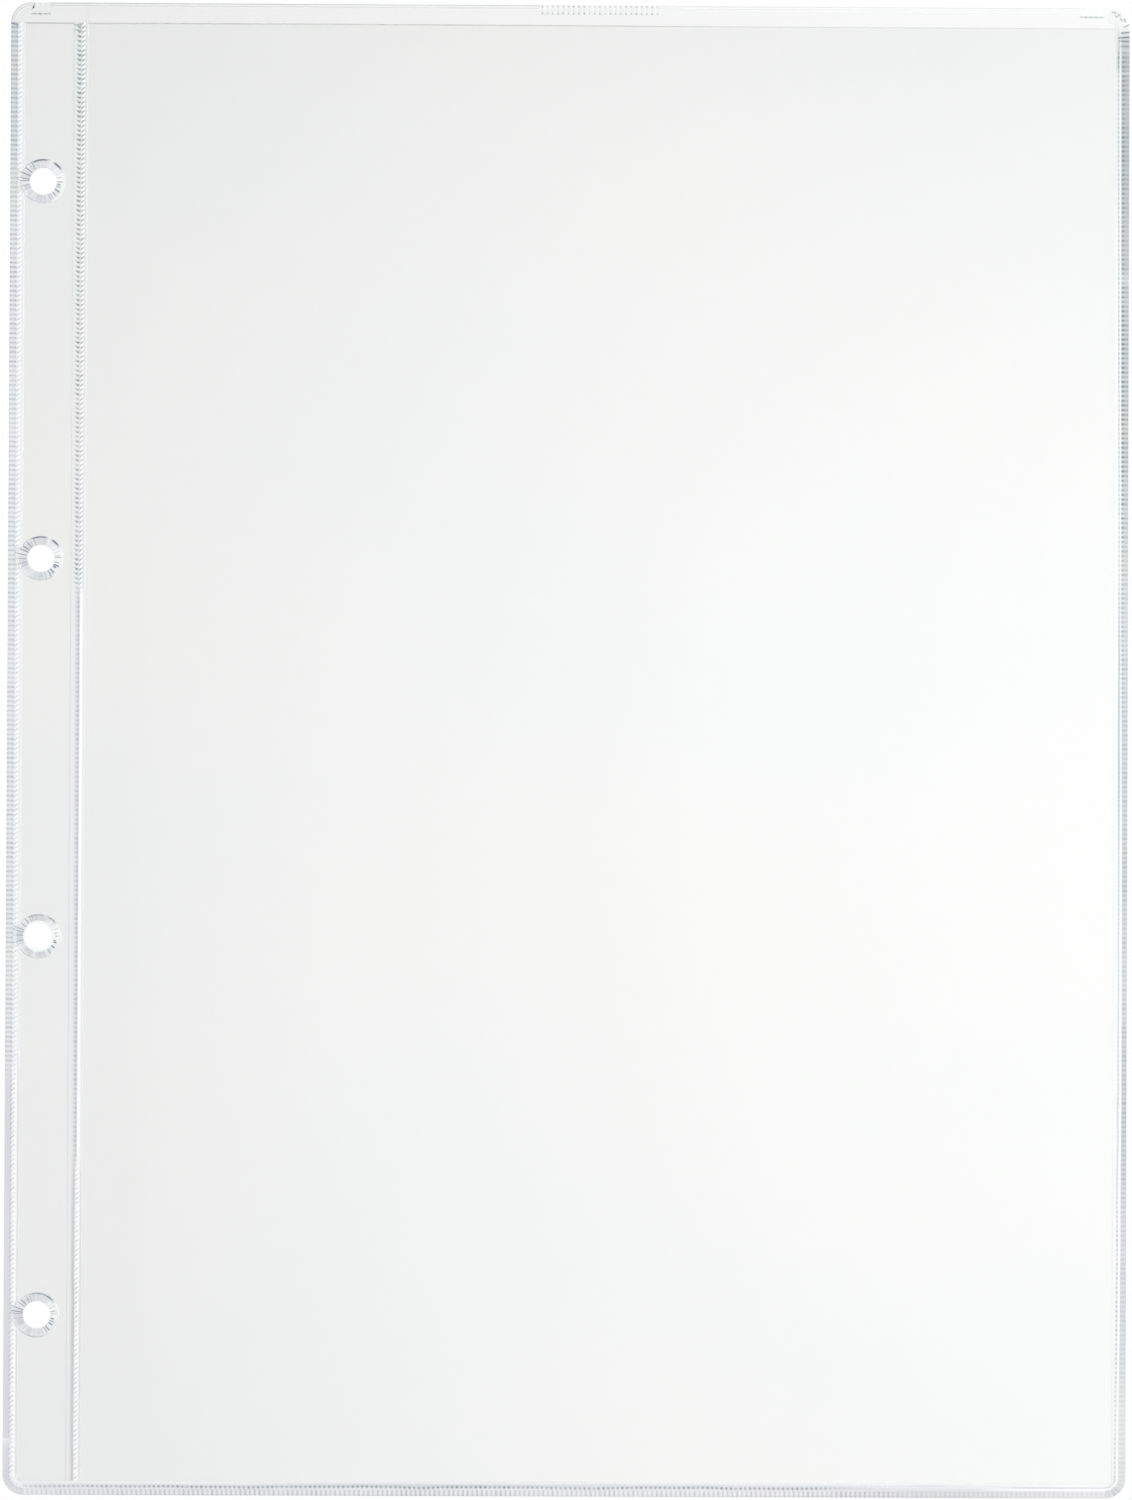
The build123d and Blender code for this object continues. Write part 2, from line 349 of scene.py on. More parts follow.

# Right weld: a dark dotted band, a pale gap, a fine dotted line, then plain film; dashes round the corner.
# All of it is painted shade, as on the left weld.
# The band and the lines beside it widen and narrow along the page.
# From the bottom up it is smooth, dotted, and dark under the mouth.
lowRight, midRight, topRight = (before, 165), (172, 258), (264, 311, 4)
rightStops = (0, 15, 44, 86, 128, 170, 213, 256, 298)
halfBand = tuple(zip(rightStops, (0.80, 0.78, 0.65, 0.56, 0.58, 0.65, 0.77, 0.84, 0.88)))
gapAt = tuple(zip(rightStops, (1.95, 1.92, 1.68, 1.46, 1.48, 1.60, 1.72, 1.90, 2.05)))
lineAt = tuple(zip(rightStops, (2.30, 2.27, 2.07, 1.85, 1.85, 1.92, 1.98, 2.16, 2.36)))
rightBand, dashDark, dashSoft = 1.35, 0.75, 0.2
rightWeld = {
    **edgeWeld, "across": columns((0, rightBand, 11), (rightBand, edgeWeldWidth - seam, 17)),
    "plate": ((0, 0.34), (311, 0.34), (314.5, 0.22)),
    "seed": 37, "ribSpread": 0.4, "uneven": 0.2, "unevenEvery": 19,
    "ground": ((0, 0.15), (20, 0.13), (172, 0.13), (256, 0.17), (300, 0.26), (314, 0.24), (315, 0.22)),
    "tone": ((0, 0.75), (16, 0.6), (44, 0.82), (86, 1.1), (128, 1.0), (170, 0.9), (213, 1.08), (250, 1.1),
             (300, 0.92), (308, 1.0), (310, 0.75), (314, 0.60), (315, 1.0)),
    "hue": ((0, 0.9), (4, 0.5), (8, -0.3), (24, -0.3), (40, 0.8), (80, 0.5), (180, 0.5), (213, 0.28),
            (256, 0.2), (290, 0.4), (313, 0.45), (315, 0.0)),
    "hueSpread": 0.35, "hueEvery": 10,
    "rows": [
        row(halfBand, halfBand, 0.42, flat=True, zone=lowRight),  # the band's grey, then its ribs
        row(halfBand, halfBand, 0.22, flat=True, high=0.05, ribbed=1, zone=lowRight),
        row(halfBand, halfBand, 0.38, flat=True, zone=midRight),
        row(halfBand, halfBand, 0.30, flat=True, high=0.05, ribbed=1, zone=midRight),
        row(halfBand, halfBand, 0.48, flat=True, zone=topRight),
        row(halfBand, halfBand, 0.16, flat=True, high=0.05, ribbed=1, zone=topRight),
        row(0.06, 0.16, 0.18, ribbed=0.8, sharp=1.5, zone=(before, 306)),  # the cut edge
        row(1.30, 0.26, 0.30, ribbed=1, sharp=1.5, zone=(172, 306)),  # the ribs' dark inner ends
        row(gapAt, 0.20, -0.12, high=0.20, zone=(before, 50, 15)),  # the pale gap
        row(gapAt, 0.18, high=0.08, ribbed=0.5, phase=0.5, zone=(65, 306, 15)),  # lower and ribbed further up
        row(1.70, 0.35, 0.25, zone=(155, 185, 20)),  # a shadow across it
        row(lineAt, 0.17, 0.95, ribbed=0.8, wander=0.08, zone=(before, 55, 15)),  # the dotted line
        row(lineAt, 0.17, 0.54, ribbed=0.3, wander=0.05, zone=(70, 180, 15)),
        row(lineAt, 0.17, 0.58, ribbed=0.6, zone=(195, 306, 15)),
        row(2.40, 0.45, 0.30, zone=(307, 312, 3)),  # a shadow under the mouth
        row(0.60, 0.16, dashDark, zone=(315.9, 316.7, dashSoft)),  # dashes round the corner
        row(1.10, 0.16, dashDark, zone=(316.5, 317.4, dashSoft)),
        row(0.75, 0.15, dashDark, zone=(317.9, 318.6, dashSoft)),
        row(0.72, 0.15, dashDark, zone=(319.2, 320.2, dashSoft)),
        row(1.32, 0.15, dashDark, zone=(318.2, 319.2, dashSoft)),
    ],
    "marks": [
        mark(2.2, 0.1, 0.16, 0.25, 1.5), mark(3.4, -0.1, 0.14, 0.30, 1.6),
        mark(304.6, 0.0, 0.25, -0.15, 1.7), mark(310.4, 0.0, 0.18, 0.4, 2.2),
        mark(311.4, 0.05, 0.18, 0.5, 2.3), mark(312.4, -0.1, 0.18, 0.7, 2.4),
        mark(313.4, -0.1, 0.18, 0.7, 1.9), mark(315.05, -0.36, 0.15, 0.7, 1.4),
    ],
}

# Ring welds: radial lines, strong beside the page edge, where they run on into the bead, and short inside the
# page, with dark arcs above and below, all in painted shade as on the edge welds. Sides are in degrees,
# places across a ring are shares of its width, and clearRim and arcStrength have a value for each ring.
ringWeld = {
    "seed": 70, "lines": 30, "stations": 15, "around": 480,
    "plate": 0.36, "floorHeight": 0.2, "roundOff": 0.05,
    "rim": 0.10, "rimAt": 0.93, "rimWidth": 0.07, "rimLoss": 0.9, "cut": 0.12,
    "strongAt": 155, "strongSpan": 38, "shortAt": -22, "shortSpan": 40,
    "openAt": 8, "openSpan": 52, "besideAt": 176, "besideSpan": 42,
    "jitter": 0.35, "lineWidth": 0.075, "shortWidth": 0.05, "weakest": 0.35,
    "plainDark": 0.16, "strongDark": 1.5, "shortDark": 1.6, "besideDark": 0.75, "besideShade": 0.30,
    "calmFrom": 1.0, "calmTo": 0.6,
    "endFrom": 0.8, "endTo": 1.05, "shortLoss": 0.35, "besideGain": 0.4, "endSoft": 0.08, "startSoft": 0.1,
    "evenShade": 0.12, "fill": 0.10, "cellDark": 0.26, "fadeFrom": 0.65, "fadeTo": 1.05,
    "hue": 0.5, "hueSpread": 0.5, "hueEvery": 0.8, "hueSeed": 9,
    "clearRim": (0.0, 0.05, 0.30, 0.08), "arcStrength": (1.0, 0.9, 0.55, 0.7),
    "arcs": ((36, 60, 1.3, 0.13), (72, 114, 1.1, 0.09), (228, 296, 0.5, 0.07)),  # from, to, darkness, width
    "arcAt": 0.90, "arcSlide": 8, "arcEase": 9,
}


def nearSide(angles, side):  # 1 towards one of a ring's named sides
    off = (np.degrees(angles) - ringWeld[side + "At"] + 180) % 360 - 180
    return mound(off, 0, ringWeld[side + "Span"])


def ringLines(random):
    # Where a ring's lines lie, how dark they are and how far out they reach.
    count, jitter = ringWeld["lines"], ringWeld["jitter"]
    at = np.sort((np.arange(count) + random.uniform(-jitter, jitter, count)) * 2 * np.pi / count)
    strong, short = nearSide(at, "strong"), nearSide(at, "short")
    most = ringWeld["plainDark"] + ringWeld["strongDark"] * strong + ringWeld["shortDark"] * short
    dark = random.uniform(ringWeld["weakest"], 1, count) * most
    end = random.uniform(ringWeld["endFrom"], ringWeld["endTo"], count) - ringWeld["shortLoss"] * short
    return at, dark, end + ringWeld["besideGain"] * nearSide(at, "beside")


def onLines(r, a, at, width):  # 1 along each line, by distance from it
    apart = (a[..., None] - at + np.pi) % (2 * np.pi) - np.pi
    return mound(apart * r[..., None], 0, width)


def makeRing(number):
    # By radius and angle: a plate with a low rim near its outside, less each line's cut, rounded off at both
    # edges. Shade is painted shade: an even part and the cells' fill, then the lines, then the arcs.
    low, high = nodeBox(f"hole_weld_{number}")
    centre, outer = (low + high) / 2, (high[0] - low[0]) / 2 - seam
    mount = next(m for m in frame["record"]["mounts"] if m["name"] == f"ring_hole_{number}")
    inner = mount["dims"]["r_mm"]
    random = np.random.default_rng(ringWeld["seed"] + number)
    at, dark, end = ringLines(random)
    cells = random.uniform(0, 1, len(at))
    angle = np.arange(ringWeld["around"]) * 2 * np.pi / ringWeld["around"]
    r, a = np.meshgrid(np.linspace(inner, outer, ringWeld["stations"]), angle)
    share = (r - inner) / (outer - inner)
    lines = onLines(r, a, at, ringWeld["lineWidth"] + ringWeld["shortWidth"] * nearSide(at, "short")) * dark
    reach = smoothStep(end + ringWeld["endSoft"], end - ringWeld["endSoft"], share[..., None])
    line = (lines * reach).max(-1) * smoothStep(0, ringWeld["startSoft"], share)
    beside = nearSide(a, "beside")
    rim = mound(share, ringWeld["rimAt"], ringWeld["rimWidth"]) * (1 - ringWeld["rimLoss"] * beside)
    height = ringWeld["plate"] + ringWeld["rim"] * rim - ringWeld["cut"] * line
    edge = smoothStep(0, ringWeld["roundOff"], share) * smoothStep(1, 1 - ringWeld["roundOff"], share)
    height = ringWeld["floorHeight"] + (height - ringWeld["floorHeight"]) * edge
    fill = ringWeld["fill"] + ringWeld["cellDark"] * cells[np.searchsorted(at, a) % len(at)]
    fade = np.maximum(smoothStep(ringWeld["fadeTo"], ringWeld["fadeFrom"], share), beside)
    shade = (ringWeld["evenShade"] + fill) * (1 - nearSide(a, "open")) * fade + line
    soft = ringWeld["startSoft"]
    shade = shade * smoothStep(0, soft, share - ringWeld["clearRim"][number - 1] + soft)
    for begin, stop, arcDark, width in ringWeld["arcs"]:
        turn = np.degrees(a) + random.uniform(-ringWeld["arcSlide"], ringWeld["arcSlide"])
        ease = ringWeld["arcEase"]
        span = smoothStep(begin - ease, begin + ease, turn) * smoothStep(stop + ease, stop - ease, turn)
        strength = arcDark * ringWeld["arcStrength"][number - 1]
        shade = shade + strength * span * mound(share, ringWeld["arcAt"], width)
    hueDrift = drift(a, ringWeld["hueEvery"], ringWeld["seed"] + ringWeld["hueSeed"] * number)
    hue = ringWeld["hue"] + ringWeld["hueSpread"] * hueDrift
    top = np.stack([centre[0] + r * np.cos(a), centre[1] + r * np.sin(a), height], -1)
    sections, shade, hue = footed(top, 0.0, np.clip(shade, 0, 1), hue)
    return sweptMesh(f"ring_weld_{number}", sections, shade, hue, ring=True)


def besideRings(u, place, shade):
    # The left bead draws in beside each ring, from the band's inside to the ring's outline, and there it
    # carries the ring's lines on in place of its teeth.
    limit = np.full(len(place), leftWeldWidth - seam)
    nearRing = {}
    for number in holeNumbers:
        low, high = nodeBox(f"hole_weld_{number}")
        centre, radius = (low + high) / 2, (high[0] - low[0]) / 2 + seam
        offset = np.abs(place[:, 1] - centre[1])
        reach = np.sqrt(np.maximum(radius ** 2 - offset ** 2, 0))
        limit = np.minimum(limit, np.where(offset < radius, centre[0] - reach - pageLeft, np.inf))
        nearRing[number] = (centre, offset < radius)
    share = ((limit - leftBand) / (leftWeldWidth - seam - leftBand))[:, None]
    inside = u > leftBand
    drawn = np.where(inside, leftBand + (u - leftBand) * share, u)
    ringShade = np.full(u.shape, ringWeld["besideShade"])
    for number, (centre, rows) in nearRing.items():
        at, dark, _ = ringLines(np.random.default_rng(ringWeld["seed"] + number))
        x = pageLeft + drawn[rows] - centre[0]
        y = np.broadcast_to(place[rows, 1:] - centre[1], x.shape)
        lines = onLines(np.hypot(x, y), np.arctan2(y, x), at, ringWeld["lineWidth"]) * dark
        ringShade[rows] += ringWeld["besideDark"] * lines.max(-1)
    calm = np.where(inside, smoothStep(ringWeld["calmFrom"], ringWeld["calmTo"], share), 0)
    return drawn, shade + (np.clip(ringShade, 0, 1) - shade) * calm


leftEdge = edgePiece("left_weld", 0.0, leftEnd - seam, leftWeld, narrowing=besideRings)
cornerEdge = edgePiece("left_corner", leftEnd, bottomStart - seam, leftCorner)
bottomEdge = edgePiece("bottom_weld", bottomStart, bottomEnd, bottomWeld)
rightEdge = edgePiece("right_weld", bottomEnd + seam, lipStart, rightWeld)
print("edge welds made")

# Margin weld: a dark ribbed core, slanted white teeth and fine dots at the fold, in painted shade as on the
# left weld
crisp, soft, rope = (before, 116), (124, 238), (246, past)  # from the mouth down: toothed, smooth, rope-like
flashEnd, beadEnd = 0.8, 2.6
marginWeld = {
    "across": columns((0, flashEnd, 7), (flashEnd, beadEnd, 19),
                      (beadEnd, pocketLeft - seam - marginWeldLow[0], 7)),
    "perMm": 8, "pitch": 1.0, "plate": 0.36, "floorHeight": 0.26, "roundOff": 0.10,
    "seed": 51, "ribSpread": 0.4, "uneven": 0.2, "unevenEvery": 23,
    "ground": ((0, 0.23), (30, 0.19), (80, 0.16)),
    "tone": ((0, 1.3), (14, 1.2), (60, 1.0), (110, 0.9), (200, 0.9), (275, 1.05), (310, 0.9)),
    "hue": ((0, 0.0), (110, 0.0), (130, 0.8), (225, 0.8), (245, 0.1), (310, 0.1)),
    "hueSpread": 0.25, "hueEvery": 12,
    "rows": [
        row(0.60, 0.12, -0.08, high=0.06, ribbed=0.8, sharp=2, phase=0.5, zone=crisp),  # light dots
        row(1.32, 0.56, 1.25, high=-0.05, ribbed=1, bend=0.6, sharp=2.2, zone=crisp),  # the dark core
        row(2.02, 0.42, high=0.28, ribbed=0.70, phase=0.5, slant=0.8, zone=crisp),  # teeth
        row(1.98, 0.46, -0.90, ribbed=1, phase=0.5, slant=0.8, zone=crisp),  # their white
        row(2.05, 0.38, 1.05, ribbed=1, slant=0.8, sharp=2.2, zone=crisp),  # the dark between them
        row(2.62, 0.12, 0.50, high=0.05, ribbed=0.8, sharp=1.3, zone=crisp),  # dots at the fold
        row(1.48, 0.44, 0.16, zone=soft),  # the core's grey
        row(1.48, 0.44, 0.34, ribbed=1, bend=0.3, zone=soft),  # its ribs
        row(1.76, 0.15, 0.42, ribbed=0.4, zone=soft),  # a line beside it
        row(2.06, 0.32, high=0.18, ribbed=0.1, phase=0.5, zone=soft),  # the bead
        row(2.32, 0.26, -0.30, zone=soft),  # its white
        row(0.95, 0.22, 0.10, zone=rope),  # a shadow outside the core
        row(1.34, 0.33, 0.46, ribbed=0.25, wander=0.05, zone=rope),  # the core
        row(1.90, 0.44, high=0.28, ribbed=0.40, phase=0.5, slant=0.8, zone=rope),  # the rope-like bead
        row(2.12, 0.42, -0.50, flat=True, zone=rope),  # its white
        row(2.10, 0.36, 1.50, ribbed=1, sharp=4.0, slant=0.8, zone=rope),  # thin strokes across it
        row(2.88, 0.14, 0.20, zone=rope),  # a line at the fold
    ],
    "marks": [mark(0.45, 0.0, 0.16, 0.5, 1.8), mark(1.5, 0.0, 0.16, 0.4, 1.8)],
}


def makeMarginWeld():
    # The margin weld's relief, laid straight down the page from the mouth.
    length = mouthY - marginWeldLow[1] - seam
    along = np.linspace(0, length, int(length * marginWeld["perMm"]))
    across = np.array(marginWeld["across"])
    height, shade, hue = relief(across, along, marginWeld)
    x = np.broadcast_to(marginWeldLow[0] + across, height.shape)
    y = np.broadcast_to(mouthY - along[:, None], height.shape)
    return sweptMesh("margin_weld_strip", *footed(np.stack([x, y, height], -1), 0.0, shade, hue))


marginStrip = makeMarginWeld()
print("margin weld made")

rings = [makeRing(number) for number in holeNumbers]
print("ring welds made")

# Front film: a thin sheet with slow waves, held flat where it is welded and free along the mouth.
# A wave has a size, its lengths across and along the page, and where it starts.
frontSheet = {
    "columnStep": 2.5, "rowStep": 2.5, "held": 14.0, "wave": 0.22,
    "waves": ((0.5, 27, 61, 0.0), (0.45, 43, -33, 1.7), (0.3, math.inf, 19, 0.6)),
    "rimWidth": 0.2, "rimRows": (0.0, 0.12, 0.3, 0.6, 1.0, 1.8), "rimRoom": 1.2, "turnRows": 6,
    "rounded": 0.15, "roundMost": 0.92, "rimFadeFrom": 0.1, "rimFadeTo": 1.6,
    "rimDark": ((-100, 0.40), (0, 0.36), (40, 0.20), (100, 0.14)), "mouthDarkening": 0.025, "darkeningReach": 40.0,
    "riseCurve": 1.5, "bowCurve": 1.4,
}


def makeFrontSheet():
    # By row up the page and share across it: the film's two faces, both lifted by the waves, with the upper
    # one rounded off at the mouth.
    left, right = pocketLeft, pageRight - edgeWeldWidth - seam
    low = pageFoot + edgeWeldWidth + seam
    turn = cornerRadius - edgeWeldWidth
    rim = frontSheet["rimWidth"] * np.array(frontSheet["rimRows"])
    rows = int((mouthY - low) / frontSheet["rowStep"])
    corner = low + turn * (1 - np.cos(np.linspace(0, np.pi / 2, frontSheet["turnRows"])))
    plain = np.linspace(corner[-1], mouthY - frontSheet["rimRoom"], rows)
    y = np.concatenate([corner[:-1], plain, mouthY - rim[::-1]])
    t = np.linspace(0, 1, int((right - left) / frontSheet["columnStep"]))
    intoTurn = np.clip(turn - (y - low), 0, turn)
    end = right - (turn - np.sqrt(turn ** 2 - intoTurn ** 2))
    x = left + t * (end - left)[:, None]
    yy = np.broadcast_to(y[:, None], x.shape)
    # lift: the sum of three slow waves, eased to nothing along the welded sides
    lift = 1.0
    for size, wide, tall, begin in frontSheet["waves"]:
        lift = lift + size * np.sin(x / wide + yy / tall + begin)
    hold = smoothStep(0, frontSheet["held"], x - left) * smoothStep(0, frontSheet["held"], end[:, None] - x)
    hold = hold * smoothStep(0, frontSheet["held"], yy - low)
    lift = frontSheet["wave"] * np.maximum(lift, 0) * hold
    fromMouth = mouthY - yy
    thick = frontHigh[2] - frontLow[2]
    intoRound = np.clip(1 - fromMouth / frontSheet["rounded"], 0, frontSheet["roundMost"])
    roundOff = thick * (1 - np.sqrt(1 - intoRound ** 2))
    under = np.stack([x, yy, frontLow[2] + lift], -1)
    over = np.stack([x, yy, frontHigh[2] + lift - roundOff], -1)
    # The cut edge's dark line along the mouth is painted shade, stronger to the left
    fadeTo = frontSheet["rimWidth"] * frontSheet["rimFadeTo"]
    dark = trend(x, frontSheet["rimDark"]) * smoothStep(fadeTo, frontSheet["rimFadeFrom"], fromMouth)
    # and the film is made a little darker towards the mouth
    dark += frontSheet["mouthDarkening"] * np.exp(-fromMouth / frontSheet["darkeningReach"])
    sections = np.concatenate([over, under[:, ::-1]], 1)
    return sweptMesh("front_sheet", sections, np.concatenate([dark, dark[:, ::-1]], 1)), y, t


frontFilm, sheetRows, sheetShares = makeFrontSheet()
print("front film made")

# Lip: strips with two fine ridges along the top edge between the tack marks, a web across the fold,
# and a rim where the margin's front film ends
tackSides = ("right", "middle", "left")
lipEdge = {
    "across": columns((0, 0.95, 12)), "perMm": 1.6, "pitch": 9.0,
    "plate": 0.225, "floorHeight": 0.205, "roundOff": 0.12,
    "seed": 5, "ribSpread": 0.2, "uneven": 0.3, "unevenEvery": 30, "ground": 0.06,
    "hue": 0.0, "hueSpread": 0.0, "hueEvery": 20,
    # The ridges' dark is painted shade along the lip's cut edge, made stronger towards the left end
    "tones": {"right": 0.4, "middle": 0.7, "left": 1.5, "corner": 1.7},
    "rows": [row(0.08, 0.13, 0.46, high=0.04), row(0.63, 0.10, 0.34, high=0.05)],
}


def makeLipStrips():
    # Lengths along the outline at which each strip stops for a tack mark and goes on after it.
    start, strips = lipStart + seam, {}
    fromRight = lipStart + pageRight - cornerRadius
    for side in (*tackSides, "corner"):
        if side == "corner":
            stop, after = outlineEnd, None
        else:
            low, high = nodeBox(f"lip_tack_{side}")
            stop, after = fromRight - (high[0] + seam), fromRight - (low[0] - seam)
        style = dict(lipEdge, tone=lipEdge["tones"][side])
        strips[side] = edgePiece(f"lip_edge_{side}", start, stop, style, backTop + footLift)
        start = after
    return strips


lipStrips = makeLipStrips()
webStations = np.linspace(marginWeldHigh[0], pocketLeft, 9)  # stations across the fold, from the margin weld to the pocket
lipWeb = slabMesh("lip_fold_web", webStations, (mouthY, pageHead), (0.0, backTop))
# The rim's dark is painted shade along the cut edge of the margin's front film
rimStyle = {"stations": 5, "below": 0.26, "above": 0.02, "high": 0.03, "dark": 0.4}
rimStations = np.linspace(leftWeldHigh[0], marginWeldLow[0], rimStyle["stations"])
rimRows = (mouthY - rimStyle["below"], mouthY + rimStyle["above"])
rimHeights = (marginFilmTop + footLift, marginFilmTop + rimStyle["high"])
marginRim = slabMesh("margin_mouth_rim", rimStations, rimRows, rimHeights, rimStyle["dark"])

# Tack marks: short upright ribs pressed into the lip, dark between them and dotted at their ends, with a dash
# at the foot of the outer two, which reach deeper than their solids, and the left one wider too. The dark,
# the dots and the dashes are painted shade.
tackMark = {
    "perMm": 12, "stations": 22, "pitch": 1.11, "plate": 0.225, "seed": 80, "ground": 0.10,
    "ribSharp": 1.2, "darkSharp": 4.0, "darkSpread": 0.5, "topSoft": 0.12, "footSoft": 0.15,
    "topDot": 0.2, "footDot": 0.22, "dotHalf": 0.16, "dashUp": 0.4, "dashHalf": 0.15, "dashSteady": 0.6,
    "wideFrom": 1.1, "wideTo": 1.4,
    "left": {"high": 0.03, "bars": 0.14, "dots": 0.28, "dash": 0.9, "deeper": 0.8, "wider": 0.7},
    "middle": {"high": 0.07, "bars": 0.20, "dots": 0.80, "dash": 0.05, "deeper": 0.0, "wider": 0.0},
    "right": {"high": 0.04, "bars": 0.03, "dots": 0.06, "dash": 0.9, "deeper": 0.3, "wider": 0.0},
}


def makeTack(side, seed):
    # By share along the mark and depth from the top edge: a plate plus one rib per pitch, eased out at both
    # ends.
    low, high = nodeBox(f"lip_tack_{side}")
    own = tackMark[side]
    t = np.linspace(0, 1, int((high[0] - low[0]) * tackMark["perMm"]))
    depth = np.linspace(0, high[1] - low[1] + own["deeper"], tackMark["stations"])
    d, tt = np.meshgrid(depth, t)
    start = low[0] - own["wider"] * smoothStep(tackMark["wideFrom"], tackMark["wideTo"], d)
    xx = start + tt * (high[0] - start)
    turns = xx / tackMark["pitch"]
    between = beat(turns + 0.5, tackMark["darkSharp"]) * perRib(turns + 0.5, tackMark["darkSpread"], seed)
    mask = smoothStep(0, tackMark["topSoft"], d) * smoothStep(depth[-1], depth[-1] - tackMark["footSoft"], d)
    height = tackMark["plate"] + own["high"] * beat(turns, tackMark["ribSharp"]) * mask
    dots = mound(d, tackMark["topDot"], tackMark["dotHalf"])
    dots += mound(d, depth[-1] - tackMark["footDot"], tackMark["dotHalf"])
    dash = mound(d, depth[-1] - tackMark["dashUp"], tackMark["dashHalf"])
    steady = tackMark["dashSteady"]
    shade = tackMark["ground"] + own["bars"] * between * mask + own["dots"] * dots * between
    shade += own["dash"] * dash * (steady + (1 - steady) * between)
    top = np.stack([xx, high[1] - d, height], -1)
    return sweptMesh(f"tack_mark_{side}", *footed(top, backTop + footLift, np.clip(shade, 0, 1)))


tacks = {side: makeTack(side, tackMark["seed"] + place) for place, side in enumerate(tackSides)}
print("lip made")


# Materials
def addNode(tree, kind, inputs=None, **settings):
    made = tree.nodes.new(kind)
    for key, value in settings.items():
        setattr(made, key, value)
    for key, value in (inputs or {}).items():
        if isinstance(value, bpy.types.NodeSocket):
            tree.links.new(value, made.inputs[key])
        else:
            made.inputs[key].default_value = value
    return made


def mixed(tree, factor, first, second, blend="MIX"):  # two colours
    inputs = {0: factor, 6: first, 7: second}
    return addNode(tree, "ShaderNodeMix", inputs, data_type="RGBA", blend_type=blend).outputs[2]


def mixedShader(tree, factor, first, second):
    return addNode(tree, "ShaderNodeMixShader", {0: factor, 1: first, 2: second}).outputs[0]


def reckoned(tree, operation, *values):
    return addNode(tree, "ShaderNodeMath", dict(enumerate(values)), operation=operation).outputs[0]


def spread(tree, value, low, high, **settings):  # 0 at low, 1 at high
    inputs = {"Value": value, "From Min": low, "From Max": high}
    return addNode(tree, "ShaderNodeMapRange", inputs, **settings).outputs[0]


def ramped(tree, value, stops, interpolation="LINEAR"):
    node = addNode(tree, "ShaderNodeValToRGB", {"Fac": value})
    ramp = node.color_ramp
    ramp.interpolation = interpolation
    while len(ramp.elements) < len(stops):
        ramp.elements.new(0.5)
    for element, (place, colour) in zip(ramp.elements, stops):
        element.position = place
        element.color = colour
    return node.outputs["Color"]


cloudStyle = {
    "patchSize": 40.0, "stretch": (0.6, 1.0, 1.0), "detail": 1.0, "clearBelow": 0.3, "fullAbove": 0.7,
}


def makeClouding():
    # Slow cloudy patches of rolled film, drawn out across the page, as a mask and a height.
    tree = bpy.data.node_groups.new("rolledFilmClouding", "ShaderNodeTree")
    size = tree.interface.new_socket("Patch Size", in_out="INPUT", socket_type="NodeSocketFloat")
    size.default_value = cloudStyle["patchSize"]
    for name in ("Patches", "Height"):
        tree.interface.new_socket(name, in_out="OUTPUT", socket_type="NodeSocketFloat")
    given = addNode(tree, "NodeGroupInput")
    place = addNode(tree, "ShaderNodeTexCoord").outputs["Object"]
    stretched = addNode(tree, "ShaderNodeMapping", {"Vector": place, "Scale": cloudStyle["stretch"]})
    perMetre = reckoned(tree, "DIVIDE", 1 / mm, given.outputs["Patch Size"])
    noise = {"Vector": stretched.outputs[0], "Scale": perMetre, "Detail": cloudStyle["detail"]}
    patches = addNode(tree, "ShaderNodeTexNoise", noise).outputs["Fac"]
    limits = (cloudStyle["clearBelow"], cloudStyle["fullAbove"])
    mask = spread(tree, patches, *limits, interpolation_type="SMOOTHSTEP")
    addNode(tree, "NodeGroupOutput", {"Patches": mask, "Height": patches})
    return tree


clouding = makeClouding()
lipShade = {"soft": 0.2, "span": 0.85}


def lipMask(tree):
    # Where the lip gets painted shade: 1 on its left end, fading to nothing at its right end and below the
    # mouth.
    place = addNode(tree, "ShaderNodeTexCoord").outputs["Object"]
    place = addNode(tree, "ShaderNodeSeparateXYZ", {"Vector": place})
    soft, span = lipShade["soft"], lipShade["span"]
    above = spread(tree, place.outputs["Y"], (mouthY - soft) * mm, (mouthY + soft) * mm)
    leftness = spread(tree, place.outputs["X"], span * pageRight * mm, span * pageLeft * mm)
    return reckoned(tree, "MULTIPLY", above, leftness)


